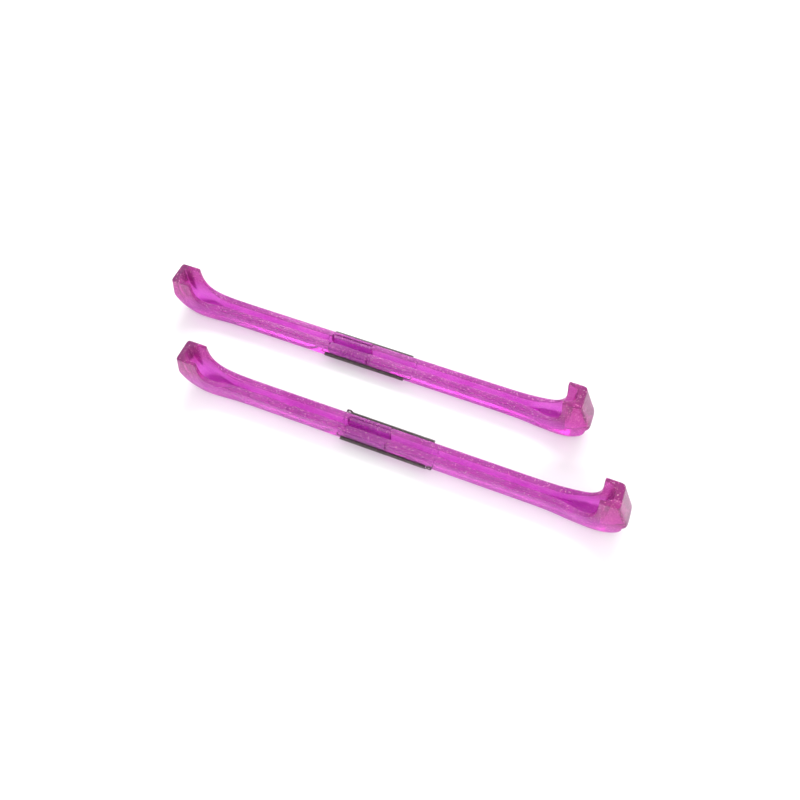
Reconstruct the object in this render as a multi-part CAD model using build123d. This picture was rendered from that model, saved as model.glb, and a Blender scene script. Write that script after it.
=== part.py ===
"""A pair of two-piece blade guards for figure skates, lying side by side.

Each guard is a heel shell and a toe shell of clear soft plastic. A tongue on the toe shell slides in a
socket in the heel shell, and a steel extension spring on each side pulls the two shells together, so
that the guard grips the blade between its two end cups.

Frame: X along the guards towards the toes, Y across them, Z up. The origin is in the middle of the
pair, on the surface that it lies on. Sizes are in millimetres.
"""
import os

from build123d import *

# ---- Placing of the pair ----
GUARD_SPACING = 60.0        # between the two centre lines
GUARD_STAGGER = 38.9        # how far guard_a lies ahead of guard_b, towards the toes
JOINT_GAP = 0.3             # between the two shells of a closed guard

# ---- Bars ----
BAR_HEIGHT = 13.4
HEEL_BAR_WIDTH = 14.4
TOE_BAR_WIDTH = 13.8
SLOT_WIDTH = 4.4            # takes a figure blade of about 4 mm
SLOT_FLOOR = 4.6            # height of the blade's running edge above the sole
EDGE_ROUND = 1.4            # rounding of the long outer edges

# ---- Heel cup ----
HEEL_LENGTH = 159.6         # joint to the foot of the end wall
HEEL_TOP_END = 154.4        # joint to the top of the end wall
HEEL_TOP_START = 139.4      # joint to the inner edge of the cup's top
HEEL_HEIGHT = 35.5
HEEL_CUP_WIDTH = 18.0
HEEL_SOLE_ROUND = 17.0
HEEL_HOOK_ROUND = 10.0

# ---- Toe cup ----
TOE_LENGTH = 165.4          # joint to the lip on the end wall
TOE_BLOCK_END = 163.6       # joint to the block under the lip
TOE_LIP_HEIGHT = 19.0
TOE_LIP_UNDERSIDE = 15.0
TOE_TOP_END = 155.2
TOE_TOP_START = 141.6
TOE_HEIGHT = 41.0
TOE_CUP_WIDTH = 19.0
TOE_SOLE_ROUND = 13.0
TOE_HOOK_ROUND = 11.0

# ---- Hollows of the cups ----
HOLLOW_WIDTH = 13.0
HOLLOW_WALL = 4.2           # end wall at the top of a cup
CUP_FLARE_START = 110.0     # the bar starts to widen into its cup
CUP_FLARE_END = 136.0
FUNNEL_START = 120.0        # the slot starts to widen into the hollow
FUNNEL_END = 137.0

# ---- Sliding joint ----
TONGUE_LENGTH = 30.0
TONGUE_WIDTH = 9.4
TONGUE_TOP = 12.5
SOCKET_FLOOR = 2.4
RUNNING_CLEARANCE = 0.3

# ---- Tread recesses in the sole ----
TREAD_DEPTH = 1.6
TREAD_WIDTH = 8.4
TREAD_RIB = 1.6
TOE_POCKET_PITCH = 18.9
TOE_POCKET_COUNT = 6
TOE_POCKET_START = 17.4
HEEL_TOOTH_PITCH = 15.5
HEEL_TOOTH_COUNT = 10       # triangles, pointing left and right by turns
HEEL_TOOTH_START = 48.0

# ---- Springs ----
WIRE = 0.7
COIL_DIAMETER = 3.0
COIL_PITCH = 0.74
COIL_HEEL_END = -32.0       # from the joint
COIL_TOE_END = 30.6
HOOK_REACH = 35.0           # joint to the two hook holes
SPRING_HEIGHT = 7.0
SPRING_GAP = 1.3            # between the coil and the wider shell
HOOK_HOLE_RADIUS = 0.7
HOOK_HOLE_FLOOR = 3.1       # from the centre line, short of the blade slot
HOOK_TIP = 3.9


def side_outline(points, rounds):
    """A side view in the XZ plane, with the given radius at each numbered corner."""
    outline = make_face(Plane.XZ * Polyline(*points, close=True))
    for index, radius in rounds.items():
        x, z = points[index]
        corner = outline.vertices().sort_by_distance((x, 0, z))[0]
        outline = fillet(corner, radius)
    return outline


def plan_outline(end, bar_width, cup_width, corner):
    """The view from above: a bar that flares into a cup with rounded end corners."""
    bar, cup = bar_width / 2, cup_width / 2
    flare = Spline((CUP_FLARE_START, bar), (CUP_FLARE_END, cup), tangents=[(1, 0), (1, 0)])
    edges = [Line((0, 0), (0, bar)), Line((0, bar), (CUP_FLARE_START, bar)), flare,
             Line((CUP_FLARE_END, cup), (end, cup)), Line((end, cup), (end, 0)),
             Line((end, 0), (0, 0))]
    half = make_face(edges)
    half = fillet(half.vertices().sort_by_distance((end, cup))[0], corner)
    return half + mirror(half, about=Plane.XZ)


def cup_hollow(inner_end, top):
    """The blade's slot, widening through a funnel into the round hollow of the cup."""
    slot, half = SLOT_WIDTH / 2, HOLLOW_WIDTH / 2
    funnel = Spline((FUNNEL_START, slot), (FUNNEL_END, half), tangents=[(1, 0), (1, 0)])
    centre = inner_end - half
    edges = [Line((-JOINT_GAP, 0), (-JOINT_GAP, slot)), Line((-JOINT_GAP, slot), (FUNNEL_START, slot)),
             funnel, Line((FUNNEL_END, half), (centre, half)),
             RadiusArc((centre, half), (inner_end, 0), half), Line((inner_end, 0), (-JOINT_GAP, 0))]
    floor = make_face(edges)
    floor = floor + mirror(floor, about=Plane.XZ)
    return Pos(0, 0, SLOT_FLOOR) * extrude(floor, top)


def outer_body(side, plan, height):
    """The solid whose side view and top view are the two outlines, with its outer edges rounded.

    The rounding starts on the four long edges of the bar and runs on round the cup.
    """
    def is_long(edge):
        box = edge.bounding_box().size
        return box.X > CUP_FLARE_START / 2 and box.Y < 0.01 and box.Z < 0.01
    body = extrude(side, TOE_CUP_WIDTH, both=True) & extrude(plan, height)
    return fillet(body.edges().filter_by(is_long), EDGE_ROUND)


def hook_holes():
    """The two blind holes, one in each side wall, that hold the spring hooks."""
    holes = Part()
    for side in (1, -1):
        depth = HEEL_BAR_WIDTH / 2 - HOOK_HOLE_FLOOR + 1
        hole = Pos(HOOK_REACH, side * (HOOK_HOLE_FLOOR + depth / 2), SPRING_HEIGHT)
        holes += hole * Rot(90, 0, 0) * Cylinder(HOOK_HOLE_RADIUS, depth)
    return holes


def toe_tread():
    """Rectangular recesses across the sole, with thin ribs between them."""
    recesses = Part()
    length = TOE_POCKET_PITCH - TREAD_RIB
    for number in range(TOE_POCKET_COUNT):
        middle = TOE_POCKET_START + (number + 0.5) * TOE_POCKET_PITCH
        recesses += Pos(middle, 0, 0) * Box(length, TREAD_WIDTH, 2 * TREAD_DEPTH)
    return recesses


def heel_tread():
    """Triangular recesses that leave a zigzag rib along the sole."""
    recesses = Part()
    half = TREAD_WIDTH / 2
    base = HEEL_TOOTH_PITCH / 2 - TREAD_RIB / 2
    for number in range(HEEL_TOOTH_COUNT):
        middle = HEEL_TOOTH_START + number * HEEL_TOOTH_PITCH / 2
        way = 1 if number % 2 else -1
        tooth = Polyline((middle - base, -way * half), (middle + base, -way * half),
                         (middle, way * half), close=True)
        recesses += extrude(make_face(tooth), TREAD_DEPTH, both=True)
    return recesses


def heel_shell():
    """The heel half, built towards +X and then turned round to lie behind the joint."""
    corners = [(0, 0), (HEEL_LENGTH, 0), (HEEL_TOP_END, HEEL_HEIGHT), (HEEL_TOP_START, HEEL_HEIGHT),
               (HEEL_TOP_START + 1, BAR_HEIGHT), (0, BAR_HEIGHT)]
    side = side_outline(corners, {1: HEEL_SOLE_ROUND, 2: 1.5, 3: 1.5, 4: HEEL_HOOK_ROUND})
    plan = plan_outline(HEEL_LENGTH, HEEL_BAR_WIDTH, HEEL_CUP_WIDTH, 5)
    shell = outer_body(side, plan, HEEL_HEIGHT)
    shell -= cup_hollow(HEEL_TOP_END - HOLLOW_WALL, HEEL_HEIGHT)
    socket = TONGUE_LENGTH + JOINT_GAP + RUNNING_CLEARANCE
    width = TONGUE_WIDTH + 2 * RUNNING_CLEARANCE
    shell -= Pos(0, 0, SOCKET_FLOOR) * Box(2 * socket, width, BAR_HEIGHT,
                                           align=(Align.CENTER, Align.CENTER, Align.MIN))
    shell -= hook_holes() + heel_tread()
    return mirror(Pos(JOINT_GAP / 2, 0, 0) * shell, about=Plane.YZ)


def toe_shell():
    """The toe half, with the tongue that slides in the heel half's socket."""
    corners = [(0, 0), (TOE_LENGTH, 0), (TOE_LENGTH, TOE_LIP_HEIGHT), (TOE_TOP_END, TOE_HEIGHT),
               (TOE_TOP_START, TOE_HEIGHT), (TOE_TOP_START + 3, BAR_HEIGHT), (0, BAR_HEIGHT)]
    side = side_outline(corners, {1: TOE_SOLE_ROUND, 2: 3, 3: 1.5, 4: 1.5, 5: TOE_HOOK_ROUND})
    plan = plan_outline(TOE_LENGTH, TOE_BAR_WIDTH, TOE_CUP_WIDTH, 4)
    shell = outer_body(side, plan, TOE_HEIGHT)
    shell -= Pos(TOE_BLOCK_END, 0, 0) * Box(TOE_CUP_WIDTH, TOE_CUP_WIDTH, TOE_LIP_UNDERSIDE,
                                            align=(Align.MIN, Align.CENTER, Align.MIN))
    tongue_floor = SOCKET_FLOOR + RUNNING_CLEARANCE
    tongue = Pos(-TONGUE_LENGTH, 0, tongue_floor) * Box(
        TONGUE_LENGTH + 1, TONGUE_WIDTH, TONGUE_TOP - tongue_floor,
        align=(Align.MIN, Align.CENTER, Align.MIN))
    shell += tongue
    shell -= cup_hollow(TOE_TOP_END - HOLLOW_WALL, TOE_HEIGHT)
    shell -= Pos(-TONGUE_LENGTH - 1, 0, SLOT_FLOOR) * Box(
        TONGUE_LENGTH + 2, SLOT_WIDTH, BAR_HEIGHT, align=(Align.MIN, Align.CENTER, Align.MIN))
    shell -= hook_holes() + toe_tread()
    return Pos(JOINT_GAP / 2, 0, 0) * shell


def spring(side, heel_hook_bulges, toe_hook_bulges):
    """A close-wound coil with a hook at each end that turns into the shell's wall."""
    axis = HEEL_BAR_WIDTH / 2 + SPRING_GAP + COIL_DIAMETER / 2
    mean, inner = (COIL_DIAMETER - WIRE) / 2, COIL_DIAMETER / 2 - WIRE
    turns = round((COIL_TOE_END - COIL_HEEL_END) / COIL_PITCH)
    pitch = (COIL_TOE_END - COIL_HEEL_END) / turns
    edges = [Line((COIL_TOE_END, mean), (COIL_TOE_END, inner)),
             Line((COIL_TOE_END, inner), (COIL_HEEL_END, inner)),
             Line((COIL_HEEL_END, inner), (COIL_HEEL_END, mean))]
    for turn in range(turns):
        start = COIL_HEEL_END + turn * pitch
        edges.append(ThreePointArc((start, mean), (start + pitch / 2, mean + WIRE / 2),
                                   (start + pitch, mean)))
    wire = Pos(0, axis, 0) * revolve(make_face(edges), Axis.X)
    for way, coil_end, bulges in ((-1, COIL_HEEL_END, heel_hook_bulges),
                                  (1, COIL_TOE_END, toe_hook_bulges)):
        start = axis + mean if bulges else axis - mean
        bend = 2.3 if bulges else 1.0
        hole = way * (HOOK_REACH + JOINT_GAP / 2)
        path = FilletPolyline((coil_end - way * WIRE / 2, start), (hole, start), (hole, HOOK_TIP),
                              radius=bend)
        section = Plane(origin=path @ 0, z_dir=path % 0) * Circle(WIRE / 2)
        wire += sweep(section, path=path)
    wire = Pos(0, 0, SPRING_HEIGHT) * wire
    return wire if side > 0 else mirror(wire, about=Plane.XZ)


def build():
    """Every node of the pair, by name, in its place."""
    heel, toe = heel_shell(), toe_shell()
    middle = -(heel.bounding_box().min.X + toe.bounding_box().max.X) / 2
    guards = {"guard_a": (middle + GUARD_STAGGER / 2, -GUARD_SPACING / 2, (-1, 1)),
              "guard_b": (middle - GUARD_STAGGER / 2, GUARD_SPACING / 2, (0, 0))}
    nodes = {}
    for name, (x, y, bulging) in guards.items():
        place = Pos(x, y, 0)
        nodes[name + "_heel_shell"] = place * heel
        nodes[name + "_toe_shell"] = place * toe
        for side_name, side in (("left", 1), ("right", -1)):
            bulges_at_heel = bulging[0] * side < 0
            bulges_at_toe = bulging[1] * side < 0
            nodes[name + "_spring_" + side_name] = place * spring(side, bulges_at_heel, bulges_at_toe)
    return nodes


os.makedirs("parts", exist_ok=True)
for node_name, solid in build().items():
    solid.label = node_name
    export_step(solid, "parts/" + node_name + ".step")
    size = solid.bounding_box()
    print(node_name, "solids", len(solid.solids()), "volume %.0f" % solid.volume,
          "X %.2f..%.2f" % (size.min.X, size.max.X), "Y %.2f..%.2f" % (size.min.Y, size.max.Y),
          "Z %.2f..%.2f" % (size.min.Z, size.max.Z))
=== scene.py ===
# %% [markdown]
# # A pair of sprung skate blade guards
#
# Each guard is two soft, clear plastic shells that slide into one another, with a small steel spring on
# each side to pull them together round the blade. This notebook gives the plain working model its looks:
# the moulded shells with their soft edges, the wound springs, the glittering plastic, and a bright table
# under them. The working model comes first, because it says where everything is and how it moves.

# %% Load the working model
import math

import bmesh
import bpy
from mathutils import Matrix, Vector


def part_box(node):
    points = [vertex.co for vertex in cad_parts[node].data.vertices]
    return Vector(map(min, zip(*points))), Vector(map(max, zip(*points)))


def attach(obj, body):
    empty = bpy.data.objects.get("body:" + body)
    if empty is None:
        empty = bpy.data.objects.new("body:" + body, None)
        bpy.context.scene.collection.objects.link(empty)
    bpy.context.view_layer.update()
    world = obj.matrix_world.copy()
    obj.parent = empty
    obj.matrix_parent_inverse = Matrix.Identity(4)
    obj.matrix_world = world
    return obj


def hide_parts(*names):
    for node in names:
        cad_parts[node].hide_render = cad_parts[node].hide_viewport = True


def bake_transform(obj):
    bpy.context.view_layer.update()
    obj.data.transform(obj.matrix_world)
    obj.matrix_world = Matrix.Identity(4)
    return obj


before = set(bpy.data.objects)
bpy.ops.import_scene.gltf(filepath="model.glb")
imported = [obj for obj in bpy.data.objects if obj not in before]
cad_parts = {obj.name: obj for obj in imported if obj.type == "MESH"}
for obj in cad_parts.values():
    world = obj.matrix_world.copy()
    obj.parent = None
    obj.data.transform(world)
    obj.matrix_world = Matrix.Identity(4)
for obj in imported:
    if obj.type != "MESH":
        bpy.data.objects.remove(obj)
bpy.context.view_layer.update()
MM = 0.001

# %% [markdown]
# ## The camera
#
# The guards lie across the picture and run a little towards the viewer at their toe ends. The camera
# looks steeply down, from about 60 degrees above the table and half a metre away, through a lens that is
# a little wide. A wide lens close by makes the nearer guard larger, as the eye sees it. The camera is
# placed by two angles and a distance from a point between the guards, which is easier to adjust than
# three loose coordinates.

# %% Camera
AZIMUTH = math.radians(21.4)
ELEVATION = math.radians(59.5)
DISTANCE = 0.5215
LOOK_AT = Vector((0.0095, 0.0067, 0.0))

level = Vector((math.sin(AZIMUTH), -math.cos(AZIMUTH), 0)) * math.cos(ELEVATION)
toward_camera = level + Vector((0, 0, math.sin(ELEVATION)))
camera = bpy.data.objects.new("camera", bpy.data.cameras.new("camera"))
camera.location = LOOK_AT + toward_camera * DISTANCE
camera.rotation_euler = (-toward_camera).to_track_quat("-Z", "Y").to_euler()
camera.data.lens = 32.4
camera.data.sensor_width = 36
camera.data.clip_start = 0.01
bpy.context.scene.collection.objects.link(camera)
bpy.context.scene.camera = camera
print("camera at", [round(c, 3) for c in camera.location])

# %% [markdown]
# ## The table and the light
#
# Clear plastic needs something pale behind it, or it looks dark, so the guards lie on a white table under
# an even white sky. A sky alone gives no sparkle. Two large soft lamps, one behind and one in front, draw
# the long bright lines along the moulded edges. The table lies a hair below the soles: two surfaces in
# exactly the same place would block each other's light and show as black patches through the plastic.

# %% Table, sky and lamps
def plain_material(name, colour, roughness):
    material = bpy.data.materials.new(name)
    material.use_nodes = True
    shader = material.node_tree.nodes["Principled BSDF"]
    shader.inputs["Base Color"].default_value = (*colour, 1)
    shader.inputs["Roughness"].default_value = roughness
    return material


def soft_lamp(name, place, size, power):
    lamp = bpy.data.lights.new(name, "AREA")
    lamp.shape, lamp.size, lamp.size_y, lamp.energy = "RECTANGLE", size[0], size[1], power
    holder = bpy.data.objects.new(name, lamp)
    holder.location = place
    holder.rotation_euler = (LOOK_AT - Vector(place)).to_track_quat("-Z", "Y").to_euler()
    bpy.context.scene.collection.objects.link(holder)


TABLE_DROP = 0.3 * MM

bpy.ops.mesh.primitive_plane_add(size=6, location=(0, 0, -TABLE_DROP))
table = bpy.context.object
table.name = "table"
table.data.materials.append(plain_material("white_table", (0.93, 0.93, 0.93), 0.6))

sky = bpy.data.worlds.new("sky")
sky.use_nodes = True
sky.node_tree.nodes["Background"].inputs["Color"].default_value = (1, 1, 1, 1)
sky.node_tree.nodes["Background"].inputs["Strength"].default_value = 1.0
bpy.context.scene.world = sky
bpy.context.scene.view_settings.view_transform = "Standard"
soft_lamp("lamp_behind", (-0.1, 0.75, 0.75), (0.9, 0.35), 7)
soft_lamp("lamp_front", (0.25, -1.1, 0.62), (1.6, 0.12), 6)
print("table, sky and two lamps")

# %% [markdown]
# ## The joint of each guard
#
# Everything on a guard is measured from its joint, the plane where the heel shell and the toe shell meet.
# The working model gives that plane: it is the end of the heel shell that faces the toes. The middle line
# of a guard comes from the same box. The new pieces are drawn in millimetres from the joint, because those
# are the numbers a mould maker would write on the drawing.

# %% Find the joints
JOINT_GAP = 0.3 * MM


def joint_of(guard):
    low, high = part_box(guard + "_heel_shell")
    return Vector((high.x + JOINT_GAP / 2, (low.y + high.y) / 2, 0))


joints = {guard: joint_of(guard) for guard in ("guard_a", "guard_b")}
for guard, joint in joints.items():
    print(guard, "joint at", [round(c, 4) for c in joint])

# %% [markdown]
# ## One slice of a shell
#
# A shell is a channel with a thick floor, and its walls sweep up into a cup at the end. Such a form could
# be carved out of a block, but moulded plastic has no hard corners, and rounding a carved block afterwards
# is hard work. Here the shell is a cage: a few slices along its length, joined by quads, which the
# Subdivision Surface modifier rounds. Each slice is a letter U with an outer and an inner skin. A corner
# has three points, and the two beside it decide how tight the rounding is. In the cup the slices fan out,
# as the sticks of a fan do, so that the skin turns from the sole up to the end wall without a seam.

# %% Slices
def along(a, b, distance):
    """The point at a distance from a on the way to b, in the side view."""
    length = math.dist(a, b)
    share = distance / length
    return (a[0] + (b[0] - a[0]) * share, a[1] + (b[1] - a[1]) * share)


def skin(rim, foot, half, levels, edge, foot_edge, swell=0.0, own=None):
    """Half of one skin, from the middle of the rim down the wall to the centre line."""
    side = [along(rim, foot, edge)]
    side += own or [along(rim, foot, math.dist(rim, foot) * share) for share in levels]
    side.append(along(foot, rim, foot_edge))
    row = [(rim[0], half - edge, rim[1]), (rim[0], half, rim[1])]
    for number, (x, z) in enumerate(side):
        bulge = swell if 0 < number < len(side) - 1 else 0
        row.append((x, half + bulge, z))
    row += [(foot[0], half, foot[1]), (foot[0], half - foot_edge, foot[1]), (foot[0], 0, foot[1])]
    return row


def whole(row):
    """A half skin and its mirror image, as one row across the shell."""
    return row + [(x, -y, z) for x, y, z in reversed(row[:-1])]


def slice_of(rim, sole, floor, half, slot, inner_rim=None, edge=1.9, sole_edge=1.7, inner_edge=0.8,
             floor_edge=1.0, levels=(0.5,), swell=0.0, own=None, set_back=0.0):
    """Both skins of one slice. Set_back turns the rim round the corner of the end wall."""
    outer = skin(rim, sole, half, levels, edge, sole_edge, swell, own)
    top = inner_rim or rim
    inner = skin(top, floor, slot, levels, inner_edge, floor_edge)
    outer[0] = (rim[0] - set_back, half - edge, rim[1])
    inner[0] = (top[0] + set_back / 2, slot + inner_edge, top[1])
    return whole(outer), whole(inner)


print("a slice has", len(slice_of((0, 13), (0, 0), (0, 5), 7, 2)[0]), "points in each skin")

# %% [markdown]
# ## Slices into a shell
#
# The slices are joined skin by skin. The two skins meet along the rims, and a face closes the shell at the
# joint. At the cup, the last slice stands upright like a door frame, and a small grid fills it: once for
# the outside of the end wall, and once for the inside of the hollow. Every face is a quad or a flat
# polygon, so the subdivided skin stays smooth. A crease on the edges at the joint keeps that end crisp,
# since it was cut flat by the mould.

# %% Close the ends of a cage
JOINT_CREASE = 0.75


def close_joint_end(bm, outer, inner, crease):
    """The flat face at the joint: a six-sided patch on each rim, and quads down and across."""
    last = len(outer) - 1
    bm.faces.new((outer[1], outer[0], inner[0], inner[1], inner[2], outer[2]))
    bm.faces.new((outer[last - 1], outer[last], inner[last],
                  inner[last - 1], inner[last - 2], outer[last - 2]))
    for j in range(2, last - 2):
        bm.faces.new((outer[j], outer[j + 1], inner[j + 1], inner[j]))
    for ring in (outer, inner):
        for j in range(last):
            bm.edges.get((ring[j], ring[j + 1]))[crease] = JOINT_CREASE


def fill_end(bm, ring, rows, foot):
    """Fills a U-shaped frame with a grid, and returns its top row from left to right."""
    last = len(ring) - 1
    grid = []
    for level in range(foot):
        left, right = ring[level], ring[last - level]
        x, z, spread = rows[level]
        middle = [bm.verts.new((x, y, z)) for y in (spread, 0, -spread)]
        grid.append([left, *middle, right])
    grid.append([ring[foot + k] for k in range(5)])
    for upper, lower in zip(grid, grid[1:]):
        for k in range(4):
            bm.faces.new((upper[k], upper[k + 1], lower[k + 1], lower[k]))
    return grid[0]


print("a joint end has a crease of", JOINT_CREASE)

# %% Build the cage
def shell_cage(name, slices, wall_rows, hollow_rows, level_count):
    """A closed cage. The wall's rows and the hollow's rows are the levels of the two end walls."""
    bm = bmesh.new()
    crease = bm.edges.layers.float.new("crease_edge")
    outer = [[bm.verts.new(point) for point in row] for row, _ in slices]
    inner = [[bm.verts.new(point) for point in row] for _, row in slices]
    count = len(outer[0])
    for a in range(len(slices) - 1):
        for j in range(count - 1):
            bm.faces.new((outer[a][j], outer[a][j + 1], outer[a + 1][j + 1], outer[a + 1][j]))
            bm.faces.new((inner[a + 1][j], inner[a + 1][j + 1], inner[a][j + 1], inner[a][j]))
        for j in (0, -1):
            bm.faces.new((outer[a][j], outer[a + 1][j], inner[a + 1][j], inner[a][j]))
    close_joint_end(bm, outer[0], inner[0], crease)
    foot = level_count + 4
    outer_top = fill_end(bm, outer[-1], wall_rows, foot)
    inner_top = fill_end(bm, inner[-1], hollow_rows, foot)
    for j in range(len(outer_top) - 1):
        bm.faces.new((outer_top[j], inner_top[j], inner_top[j + 1], outer_top[j + 1]))
    bmesh.ops.recalc_face_normals(bm, faces=bm.faces)
    mesh = bpy.data.meshes.new(name)
    bm.to_mesh(mesh)
    print(name, "cage:", len(bm.faces), "faces,", sum(not e.is_manifold for e in bm.edges), "open edges")
    bm.free()
    return mesh

# %% [markdown]
# ## The heel shell
#
# The bar is 14.4 mm wide and as high as a blade needs. A deep socket for the tongue opens at the joint, so
# the inner skin steps there from wide to narrow, while the outer skin runs straight on. Towards the heel
# the walls flare, the slot widens into a funnel, and the rim sweeps up to the flat top of the cup, 35.5 mm
# above the table. The floor of the hollow rises with the sole, which keeps the wall even, as a moulded
# part needs in order to cool without sinking.

# %% Heel slices
RIM, SLOT_FLOOR, SLOT_HALF = 13.4, 4.6, 2.2
SOCKET_FLOOR, SOCKET_HALF = 2.4, 5.0
HEEL_BAR_HALF, HEEL_TOP = 7.2, 35.5


def bar_slices(make, places, half):
    """Plain slices of the straight bar, one at each place along it, in millimetres from the joint."""
    return [make((x, RIM), (x, 0), (x, SLOT_FLOOR), half, SLOT_HALF) for x in places]


def heel_socket():
    """From the joint to the step where the socket ends and the narrow slot begins."""
    half = HEEL_BAR_HALF
    slices = []
    for x, inner_x in ((0.15, 0.15), (1.5, 1.5), (28.8, 29.6), (30.3, 30.75)):
        slices.append(slice_of((x, RIM), (x, 0), (inner_x, SOCKET_FLOOR), half, SOCKET_HALF,
                               (inner_x, RIM), inner_edge=0.6))
    for x, inner_x in ((31.3, 30.76), (32.6, 31.9)):
        slices.append(slice_of((x, RIM), (x, 0), (inner_x, SLOT_FLOOR), half, SLOT_HALF, (inner_x, RIM)))
    return slices


def heel_cup():
    """The flare and the cup: rim, sole and floor of each slice in the side view, then its widths."""
    top = HEEL_TOP
    return [
        slice_of((117.5, RIM), (117, 0), (117, SLOT_FLOOR), 7.5, 2.3),
        slice_of((124, RIM), (123, 0), (123, SLOT_FLOOR), 8.0, 3.0, sole_edge=2.0),
        slice_of((129.8, 13.9), (128.5, 0), (128.5, SLOT_FLOOR), 8.5, 4.4, sole_edge=2.3, swell=0.1),
        slice_of((134.4, 15.9), (133.5, 0), (132.5, SLOT_FLOOR), 8.8, 5.6, sole_edge=2.7, swell=0.25),
        slice_of((137.7, 19.3), (138.2, 0.2), (136.4, 4.7), 8.9, 6.3, sole_edge=3.0, swell=0.35),
        slice_of((139.4, 24), (142.6, 1.2), (139.6, 4.9), 8.9, 6.5, sole_edge=3.3, swell=0.4),
        slice_of((139.8, 29.5), (146.6, 2.9), (142.4, 5.3), 8.8, 6.5, sole_edge=3.4, swell=0.4),
        slice_of((139.6, 34.1), (150.4, 5.4), (144.6, 5.9), 8.8, 6.5, sole_edge=3.4, swell=0.35),
        slice_of((139.6, top), (153.2, 8.3), (146.2, 6.7), 8.8, 6.5, edge=1.2, sole_edge=3.4, swell=0.3),
        slice_of((141.0, top), (155.2, 11.4), (147.4, 7.8), 8.8, 6.5, edge=1.2, sole_edge=3.4, swell=0.3),
        slice_of((151.2, top), (156.6, 14.8), (148.3, 9.2), 8.8, 6.4, (144.6, top), edge=1.2,
                 sole_edge=3.4, swell=0.2),
        slice_of((154.4, top), (157.3, 18.4), (149.0, 10.8), 8.8, 5.0, (149.0, top), edge=1.2,
                 sole_edge=3.4, floor_edge=2.4, set_back=1.2),
    ]


def end_rows(places, spread):
    """The levels of an end wall from the top down: x, z, and how far its middle points stand apart."""
    return [(x, z, spread) for x, z in places]


WALL_SPREAD, HOLLOW_SPREAD = 5.4, 2.6
heel = (
    heel_socket() + bar_slices(slice_of, (58, 84, 108), HEEL_BAR_HALF) + heel_cup(),
    end_rows([(153.1, HEEL_TOP), (154.5, HEEL_TOP), (154.8, 34.2), (156.2, 27), (156.9, 21.6)],
             WALL_SPREAD),
    end_rows([(151.3, HEEL_TOP), (150.4, HEEL_TOP), (150.4, 34.6), (150.3, 23), (150.1, 13.5)],
             HOLLOW_SPREAD),
)
print(len(heel[0]), "slices in the heel shell")

# %% [markdown]
# ## The toe shell
#
# The toe half is a little narrower, its cup is taller, and a tongue reaches out past the joint into the
# heel half's socket. The cup leans out to a small lip low on its end wall, where the two halves of the
# mould met, so every slice of this shell has three levels between rim and sole in place of one.

# %% Toe slices
TOE_LEVELS = (0.5, 0.68, 0.78)
TOE_BAR_HALF, TOE_TOP = 6.9, 41
TONGUE_HALF, TONGUE_SOLE, TONGUE_RIM = 4.7, 2.7, 12.5


def toe_slice(rim, sole, floor, half, slot, *rest, **more):
    return slice_of(rim, sole, floor, half, slot, *rest, levels=TOE_LEVELS, **more)


def tongue_slice(x, floor_x, inner_rim=None):
    """A slice through the tongue, which has tighter corners than the bar."""
    return toe_slice((x, TONGUE_RIM), (x, TONGUE_SOLE), (floor_x, SLOT_FLOOR), TONGUE_HALF, SLOT_HALF,
                     inner_rim, edge=0.8, sole_edge=0.7, inner_edge=0.6)


def toe_tongue():
    """From the tip of the tongue to the shoulder at the joint, where the bar begins."""
    return [
        tongue_slice(-29.85, -29.85),
        tongue_slice(-28.7, -28.7),
        tongue_slice(-1.2, -1.4),
        tongue_slice(0.15, -0.3, (-0.3, 12.6)),
        toe_slice((0.16, RIM), (0.16, 0), (0.5, SLOT_FLOOR), TOE_BAR_HALF, SLOT_HALF, (0.3, RIM)),
    ]


def toe_cup():
    """The flare and the cup: rim, sole and floor of each slice in the side view, then its widths."""
    top = TOE_TOP
    return [
        toe_slice((119, RIM), (118.5, 0), (118, SLOT_FLOOR), 7.3, 2.3, sole_edge=1.9),
        toe_slice((126.5, RIM), (125.5, 0), (125, SLOT_FLOOR), 8.0, 3.3, sole_edge=2.2),
        toe_slice((133, 13.6), (132, 0), (130.8, SLOT_FLOOR), 8.7, 5.1, sole_edge=2.5, swell=0.1),
        toe_slice((138.2, 14.7), (138, 0), (135.6, SLOT_FLOOR), 9.0, 6.1, sole_edge=2.7, swell=0.2),
        toe_slice((141.9, 17.5), (143, 0), (139.6, 4.7), 9.35, 6.5, sole_edge=2.8, swell=0.3),
        toe_slice((144.0, 22.2), (147.6, 0.1), (142.6, 4.9), 9.35, 6.5, sole_edge=2.8, swell=0.3),
        toe_slice((143.9, 30), (152, 0.8), (145.2, 5.2), 9.35, 6.5, sole_edge=2.8, swell=0.3),
        toe_slice((142.4, 39.2), (156, 2.4), (147.4, 5.9), 9.35, 6.5, sole_edge=2.8, swell=0.25),
        toe_slice((142.1, top), (159.2, 4.8), (148.9, 6.9), 9.35, 6.5, edge=1.2, sole_edge=2.6, swell=0.2),
        toe_slice((143.5, top), (161.6, 7.8), (149.9, 8.2), 9.35, 6.5, edge=1.2, sole_edge=2.4, swell=0.2),
        toe_slice((150.8, top), (162.8, 10.4), (149.7, 9.8), 9.35, 6.4, (144.6, top), edge=1.2,
                  sole_edge=3.0, own=[(159.0, 22.4), (160.4, 18.8), (160.6, 16.0)]),
        toe_slice((154.9, top), (163.3, 13.0), (150.0, 11.6), 9.2, 5.0, (148.8, top), edge=1.2,
                  sole_edge=3.2, floor_edge=2.4, set_back=1.2,
                  own=[(162.8, 23.2), (164.8, 19.4), (164.7, 17.2)]),
    ]


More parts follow.
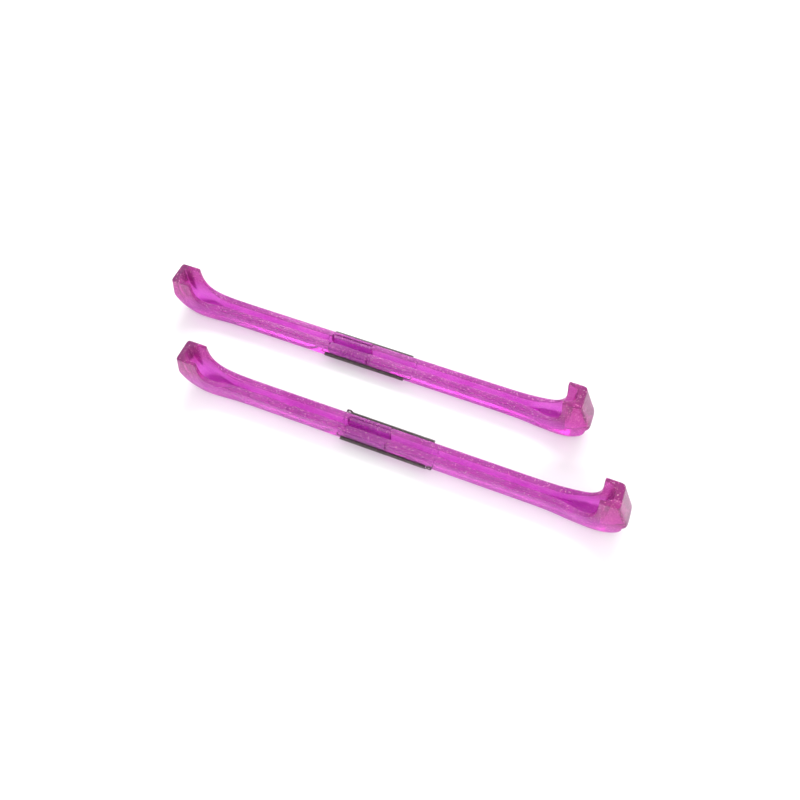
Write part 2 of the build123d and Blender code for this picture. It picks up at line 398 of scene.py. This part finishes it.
toe = (
    toe_tongue() + bar_slices(toe_slice, (1.5, 28, 56, 84, 109), TOE_BAR_HALF) + toe_cup(),
    end_rows([(153.7, TOE_TOP), (155.1, TOE_TOP), (155.6, 39.6), (163.4, 23.2), (165.6, 19.2),
              (165.5, 16.8), (163.7, 15.6)], WALL_SPREAD),
    end_rows([(151.0, TOE_TOP), (150.1, TOE_TOP), (150.1, 40.2), (150.4, 28), (150.6, 21),
              (150.6, 17), (150.6, 13.4)], HOLLOW_SPREAD),
)
print(len(toe[0]), "slices in the toe shell")

# %% [markdown]
# ## The tread under the sole
#
# The underside has recesses that save plastic and keep the guard from slipping on a wet floor: triangles
# pointing left and right by turns under the heel half, and plain rectangles under the toe half. Their rows
# show through the clear plastic as soft shadows. A recess has crisp corners in the middle of a smooth
# face, which is what the Boolean modifier is for. The cutters are removed afterwards.

# %% Tread and hook holes
TREAD_DEPTH = 1.6
TREAD_HALF_WIDTH = 4.2
HOLE_FROM_JOINT = 35.15
HOLE_HEIGHT = 7.0
HOLE_RADIUS = 0.7
HOLE_INSIDE, HOLE_OUTSIDE = 3.1, 9.0


def prism(bm, corners, bottom, top):
    """An upright prism from a flat outline, given in millimetres."""
    low = [bm.verts.new((x, y, bottom)) for x, y in corners]
    high = [bm.verts.new((x, y, top)) for x, y in corners]
    bm.faces.new(list(reversed(low)))
    bm.faces.new(high)
    for a in range(len(corners)):
        b = (a + 1) % len(corners)
        bm.faces.new((low[a], low[b], high[b], high[a]))


def add_hook_holes(bm, way):
    """Two short drillings, one in each side wall, where the spring hooks go in."""
    middle, corners = way * HOLE_FROM_JOINT, 16
    angles = [a * math.tau / corners for a in range(corners)]
    ring = [(middle + HOLE_RADIUS * math.cos(a), HOLE_HEIGHT + HOLE_RADIUS * math.sin(a)) for a in angles]
    for side in (1, -1):
        near = [bm.verts.new((x, side * HOLE_INSIDE, z)) for x, z in ring]
        far = [bm.verts.new((x, side * HOLE_OUTSIDE, z)) for x, z in ring]
        bm.faces.new(near)
        bm.faces.new(far)
        for a in range(corners):
            b = (a + 1) % corners
            bm.faces.new((near[a], near[b], far[b], far[a]))


def cutter(name, outlines, way):
    bm = bmesh.new()
    for corners in outlines:
        prism(bm, corners, -1.0, TREAD_DEPTH)
    add_hook_holes(bm, way)
    bmesh.ops.recalc_face_normals(bm, faces=bm.faces)
    mesh = bpy.data.meshes.new(name)
    bm.to_mesh(mesh)
    bm.free()
    tool = bpy.data.objects.new(name, mesh)
    bpy.context.scene.collection.objects.link(tool)
    return tool


def heel_teeth():
    """Ten triangles, pointing to one side and the other by turns."""
    first_middle, pitch, half_length = 48.15, 7.75, 6.95
    outlines = []
    for number in range(10):
        middle = -(first_middle + number * pitch)
        tip = TREAD_HALF_WIDTH if number % 2 else -TREAD_HALF_WIDTH
        outlines.append([(middle - half_length, -tip), (middle + half_length, -tip), (middle, tip)])
    return outlines


def toe_pockets():
    """Six rectangles in a row."""
    row_start, pitch, half_length, side = 17.55, 18.9, 8.65, TREAD_HALF_WIDTH
    outlines = []
    for number in range(6):
        middle = row_start + (number + 0.5) * pitch
        start, end = middle - half_length, middle + half_length
        outlines.append([(start, -side), (end, -side), (end, side), (start, side)])
    return outlines


print(len(heel_teeth()), "teeth under the heel,", len(toe_pockets()), "pockets under the toe")

# %% [markdown]
# ## Finishing the shells
#
# Subdivision turns the coarse cage into a smooth moulded skin, and the Boolean then cuts the recesses and
# holes into it. The order matters: cutting first would round the recesses away. The stack is applied,
# because the cutter has to go, and only then is the shell scaled to metres and moved to its joint. Angles
# above 40 degrees stay sharp, so the recesses keep their corners while the skin shades smoothly.

# %% Finish the shells
RECESS_ANGLE = math.radians(40)


def finished_shell(name, cage, way, outlines, level_count, joint):
    """Subdivides the cage, cuts the tread, and puts the shell in its place."""
    slices, ends, hollow = cage
    mesh = shell_cage(name, slices, ends, hollow, level_count)
    for vertex in mesh.vertices:
        vertex.co.x *= way
    if way < 0:
        mesh.flip_normals()
    shell = bpy.data.objects.new(name, mesh)
    bpy.context.scene.collection.objects.link(shell)
    rounding = shell.modifiers.new("rounding", "SUBSURF")
    rounding.levels = rounding.render_levels = 3
    tool = cutter(name + "_cutter", outlines, way)
    cut = shell.modifiers.new("tread", "BOOLEAN")
    cut.operation, cut.object, cut.solver = "DIFFERENCE", tool, "EXACT"
    depsgraph = bpy.context.evaluated_depsgraph_get()
    done = bpy.data.meshes.new_from_object(shell.evaluated_get(depsgraph))
    shell.modifiers.clear()
    bpy.data.objects.remove(tool)
    for vertex in done.vertices:
        vertex.co = vertex.co * MM + joint
    done.shade_smooth()
    done.set_sharp_from_angle(angle=RECESS_ANGLE)
    shell.data = done
    return shell


def put_on(shell, body, node):
    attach(shell, body)
    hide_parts(node)


shells = []
for guard, joint in joints.items():
    heel_piece = finished_shell(guard + "_heel_half", heel, -1, heel_teeth(), 1, joint)
    put_on(heel_piece, guard + "_heel", guard + "_heel_shell")
    toe_piece = finished_shell(guard + "_toe_half", toe, 1, toe_pockets(), 3, joint)
    put_on(toe_piece, guard + "_toe", guard + "_toe_shell")
    shells += [heel_piece, toe_piece]
for shell in shells:
    print(shell.name, len(shell.data.polygons), "faces")

# %% [markdown]
# ## The springs
#
# Each guard has a close-wound steel spring along either side. The wire is 0.7 mm thick and goes round 84
# times. A striped cylinder would pass from a distance, but a wound wire glints along every turn, so the
# wire here is a real helix. At each end it runs out into a hook that bends into a hole in the wall. Some
# hooks lie close to the wall, and others end in an eye of one and a half turns that stands proud, as
# happens when springs are hooked in by hand.

# %% Wind the springs
WIRE = 0.7
COIL_RADIUS = 1.15
COIL_START, COIL_END = -31.9, 30.5
TURNS, STEPS_IN_TURN = 84, 10
SPRING_LINE = 10.0
EYE_RADIUS, EYE_STEPS_IN_TURN = 1.7, 12
HOOK_TIP = 4.0


def helix(first, last):
    """Points of the coil in millimetres, x along it and the angle 0 pointing away from the wall."""
    sweep = math.tau * TURNS + last - first
    steps = TURNS * STEPS_IN_TURN
    points = []
    for step in range(steps + 1):
        angle = first + sweep * step / steps
        x = COIL_START + (COIL_END - COIL_START) * step / steps
        points.append((x, SPRING_LINE + COIL_RADIUS * math.cos(angle), COIL_RADIUS * math.sin(angle)))
    return points


def smooth(corners, steps=5):
    """A smooth line through a few points, each step easing from one to the next."""
    points = []
    padded = [Vector(c) for c in (corners[0], *corners, corners[-1])]
    for a, b, c, d in zip(padded, padded[1:], padded[2:], padded[3:]):
        for step in range(steps):
            t = step / steps
            points.append((2 * b + (c - a) * t + (2 * a - 5 * b + 4 * c - d) * t ** 2
                           + (3 * b - a - 3 * c + d) * t ** 3) / 2)
    return [tuple(p) for p in points] + [corners[-1]]


def hook(way, bulges):
    """From the coil's end to the tip in the wall. A bulging hook is an open eye that stands proud."""
    x = HOLE_FROM_JOINT
    if bulges:
        corners = [(31.1, SPRING_LINE + 1.2, 0.1)]
        for step in range(EYE_STEPS_IN_TURN * 3 // 2 + 1):
            angle = math.pi - step * math.tau / EYE_STEPS_IN_TURN
            across, up = EYE_RADIUS * math.cos(angle), EYE_RADIUS * math.sin(angle)
            corners.append((33.5 + across, 11.1 - step * 0.07, 1.2 + up))
        corners += [(x, 8.6, 0.2), (x, 6.9, 0), (x, HOOK_TIP, 0)]
    else:
        y = SPRING_LINE - COIL_RADIUS
        corners = [(x - 1.7, y, 0), (x - 0.5, y - 0.25, 0), (x, y - 1.2, 0), (x, HOOK_TIP, 0)]
    return smooth([(way * a, b, c) for a, b, c in corners])


print("a close hook has", len(hook(1, False)), "points, and a proud one", len(hook(1, True)))

# %% [markdown]
# ## Hanging the springs on the guards
#
# A curve's own bevel turns the line into a round wire with closed ends. The wire is then a mesh, in its
# place at the joint.

# %% Hang the springs
def spring(name, side, heel_bulges, toe_bulges, joint):
    """One wire in its place: the two hooks and the coil between them, as one round tube."""
    first = 0 if heel_bulges else math.pi
    last = 0 if toe_bulges else math.pi
    coil = helix(first, last)
    line = list(reversed(hook(-1, heel_bulges))) + coil + hook(1, toe_bulges)
    curve = bpy.data.curves.new(name, "CURVE")
    curve.dimensions = "3D"
    curve.bevel_depth = WIRE / 2 * MM
    curve.bevel_resolution = 2
    curve.use_fill_caps = True
    spline = curve.splines.new("POLY")
    spline.points.add(len(line) - 1)
    for point, (x, y, z) in zip(spline.points, line):
        point.co = (joint.x + x * MM, joint.y + side * y * MM, (HOLE_HEIGHT + z) * MM, 1)
    wire = bpy.data.objects.new(name, curve)
    bpy.context.scene.collection.objects.link(wire)
    mesh = bpy.data.meshes.new_from_object(wire.evaluated_get(bpy.context.evaluated_depsgraph_get()))
    bpy.data.objects.remove(wire)
    mesh.shade_smooth()
    made = bpy.data.objects.new(name, mesh)
    bpy.context.scene.collection.objects.link(made)
    return made


HOOKS = {"guard_a": {"left": (True, False), "right": (False, True)},
         "guard_b": {"left": (False, False), "right": (False, False)}}
springs = []
for guard, joint in joints.items():
    for side_name, side in (("left", 1), ("right", -1)):
        wire = spring(guard + "_wound_" + side_name, side, *HOOKS[guard][side_name], joint)
        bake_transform(wire)
        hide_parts(guard + "_spring_" + side_name)
        springs.append(wire)
        print(wire.name, len(wire.data.polygons), "faces")

# %% [markdown]
# ## Helpers for the materials
#
# A material is a small network of nodes. Adding each node, setting its sockets and linking it takes many
# lines, and the same few kinds come back again and again: noise, a colour ramp, a mix and a bump. A small
# class holds those, so that the finishes below read as recipes.

# %% Node helpers
class Nodes:
    """A short way to add and link the nodes of one material."""

    def __init__(self, name):
        self.material = bpy.data.materials.new(name)
        self.material.use_nodes = True
        self.tree = self.material.node_tree
        self.shader = self.tree.nodes["Principled BSDF"]

    def add(self, kind, **values):
        node = self.tree.nodes.new("ShaderNode" + kind)
        for key, value in values.items():
            setattr(node, key, value)
        return node

    def link(self, source, target):
        self.tree.links.new(source, target)

    def noise(self, place, scale, detail=2):
        node = self.add("TexNoise")
        node.inputs["Scale"].default_value = scale
        node.inputs["Detail"].default_value = detail
        self.link(place, node.inputs["Vector"])
        return node.outputs["Fac"]

    def spread(self, value, low, high):
        """Stretches a value from 0 to 1 over another range."""
        node = self.add("MapRange")
        node.inputs["To Min"].default_value = low
        node.inputs["To Max"].default_value = high
        self.link(value, node.inputs["Value"])
        return node.outputs["Result"]

    def bump(self, height, strength, distance):
        node = self.add("Bump")
        node.inputs["Strength"].default_value = strength
        node.inputs["Distance"].default_value = distance
        self.link(height, node.inputs["Height"])
        self.link(node.outputs["Normal"], self.shader.inputs["Normal"])

    def ramp(self, source, stops):
        """A colour for each value, from stops of a place and a colour."""
        node = self.add("ValToRGB")
        elements = node.color_ramp.elements
        for number, (place, colour) in enumerate(stops):
            element = elements[number] if number < 2 else elements.new(place)
            element.position = place
            element.color = (*colour, 1)
        self.link(source, node.inputs["Fac"])
        return node.outputs["Color"]

    def mix(self, share, a, b, kind="MIX"):
        """Two colours mixed. The share of the second is a number, or another node's value."""
        node = self.add("Mix", data_type="RGBA", blend_type=kind)
        if isinstance(share, float):
            node.inputs["Factor"].default_value = share
        else:
            self.link(share, node.inputs["Factor"])
        for name, colour in (("A", a), ("B", b)):
            socket = [s for s in node.inputs if s.name == name and s.type == "RGBA"][0]
            self.link(colour, socket)
        return [s for s in node.outputs if s.type == "RGBA"][0]


print("node helpers:", ", ".join(name for name in vars(Nodes) if not name.startswith("_")))

# %% [markdown]
# ## Clear magenta plastic with glitter
#
# The shells are soft vinyl, dyed through and full of glitter flakes. The dye must colour the light inside
# the plastic, so that a thick corner is deeper than a thin wall. A share of transmission does that, and
# the rest of the shader is a soft diffuse body, since vinyl is milky and never as clear as glass. The
# dye looks deeper in the thick cups, which a gradient over the height adds to. The flakes are cells of a
# Voronoi texture: each cell gets a random number, and only the highest few shine.

# %% Plastic
def magenta_plastic():
    nodes = Nodes("clear_magenta_vinyl")
    place = nodes.add("TexCoord").outputs["Object"]
    body = nodes.mix(1.0, cloudy_dye_and_edge_shade(nodes, place), deep_cups(nodes, place), "MULTIPLY")
    shine, tint = glitter(nodes, place)
    nodes.link(nodes.mix(shine, body, tint), nodes.shader.inputs["Base Color"])
    nodes.link(nodes.spread(nodes.noise(place, 180), 0.10, 0.22), nodes.shader.inputs["Roughness"])
    nodes.link(nodes.spread(shine, 0.79, 0.2), nodes.shader.inputs["Transmission Weight"])
    nodes.bump(nodes.noise(place, 260, 4), 0.05, 0.6 * MM)
    nodes.shader.inputs["IOR"].default_value = 1.45
    nodes.shader.inputs["Specular Tint"].default_value = (1.0, 0.4, 0.9, 1)
    dye = nodes.add("VolumeAbsorption")
    dye.inputs["Color"].default_value = (0.92, 0.25, 0.82, 1)
    dye.inputs["Density"].default_value = 130
    nodes.link(dye.outputs["Volume"], nodes.tree.nodes["Material Output"].inputs["Volume"])
    return nodes.material


def cloudy_dye_and_edge_shade(nodes, place):
    """Cloudy dye, with painted shade that darkens it where the surface turns away from the eye."""
    cloud = nodes.ramp(nodes.noise(place, 55, 3), [(0.30, (0.82, 0.18, 0.82)), (0.70, (0.98, 0.34, 1.0))])
    rim = nodes.add("LayerWeight")
    rim.inputs["Blend"].default_value = 0.4
    # Painted shade: the colour darkens towards the silhouettes, where the surface turns away from the eye.
    painted_edge_shade = nodes.ramp(rim.outputs["Facing"], [(0.66, (1, 1, 1)), (0.95, (0.45, 0.12, 0.36))])
    return nodes.mix(1.0, cloud, painted_edge_shade, "MULTIPLY")


def deep_cups(nodes, place):
    """A tint that deepens from the bars up into the cups."""
    axes = nodes.add("SeparateXYZ")
    nodes.link(place, axes.inputs["Vector"])
    height = nodes.add("MapRange")
    height.inputs["From Min"].default_value = 8 * MM
    height.inputs["From Max"].default_value = 22 * MM
    nodes.link(axes.outputs["Z"], height.inputs["Value"])
    return nodes.ramp(height.outputs["Result"], [(0.0, (1, 1, 1)), (1.0, (0.66, 0.50, 0.50))])


def glitter(nodes, place):
    """Where the flakes are, and the colour of each."""
    flakes = nodes.add("TexVoronoi")
    flakes.inputs["Scale"].default_value = 2700
    nodes.link(place, flakes.inputs["Vector"])
    pick = nodes.add("SeparateColor")
    nodes.link(flakes.outputs["Color"], pick.inputs["Color"])
    shine = nodes.ramp(pick.outputs["Red"], [(0.972, (0, 0, 0)), (0.977, (1, 1, 1))])
    tint = nodes.ramp(pick.outputs["Green"],
                      [(0.0, (1.0, 0.38, 0.80)), (0.5, (1.0, 0.48, 0.60)), (1.0, (1, 0.70, 0.95))])
    return shine, tint


plastic = magenta_plastic()
for shell in shells:
    shell.data.materials.clear()
    shell.data.materials.append(plastic)
print(plastic.name, "has", len(plastic.node_tree.nodes), "nodes")

# %% [markdown]
# ## Spring steel
#
# Spring wire is drawn through a die, which leaves fine lines along it. Its colour is dark steel, painted
# darker still as painted shade for the shade between the close turns. Small noise in the roughness breaks
# the highlights up.

# %% Steel
def spring_steel():
    nodes = Nodes("drawn_spring_steel")
    grain = nodes.noise(nodes.add("TexCoord").outputs["Object"], 2500, 3)
    # Dark steel colours, darkened further all over as painted shade for the shade between the turns.
    nodes.link(nodes.ramp(grain, [(0.3, (0.05, 0.043, 0.043)), (0.7, (0.20, 0.175, 0.17))]),
               nodes.shader.inputs["Base Color"])
    nodes.link(nodes.spread(grain, 0.18, 0.42), nodes.shader.inputs["Roughness"])
    nodes.bump(grain, 0.15, 0.05 * MM)
    nodes.shader.inputs["Metallic"].default_value = 1
    nodes.shader.inputs["Specular Tint"].default_value = (0.4, 0.37, 0.36, 1)
    return nodes.material


steel = spring_steel()
for wire in springs:
    wire.data.materials.clear()
    wire.data.materials.append(steel)
print(steel.name, "on", len(springs), "springs")

# %% [markdown]
# ## Finish
#
# The looks mustn't change the size of the object.
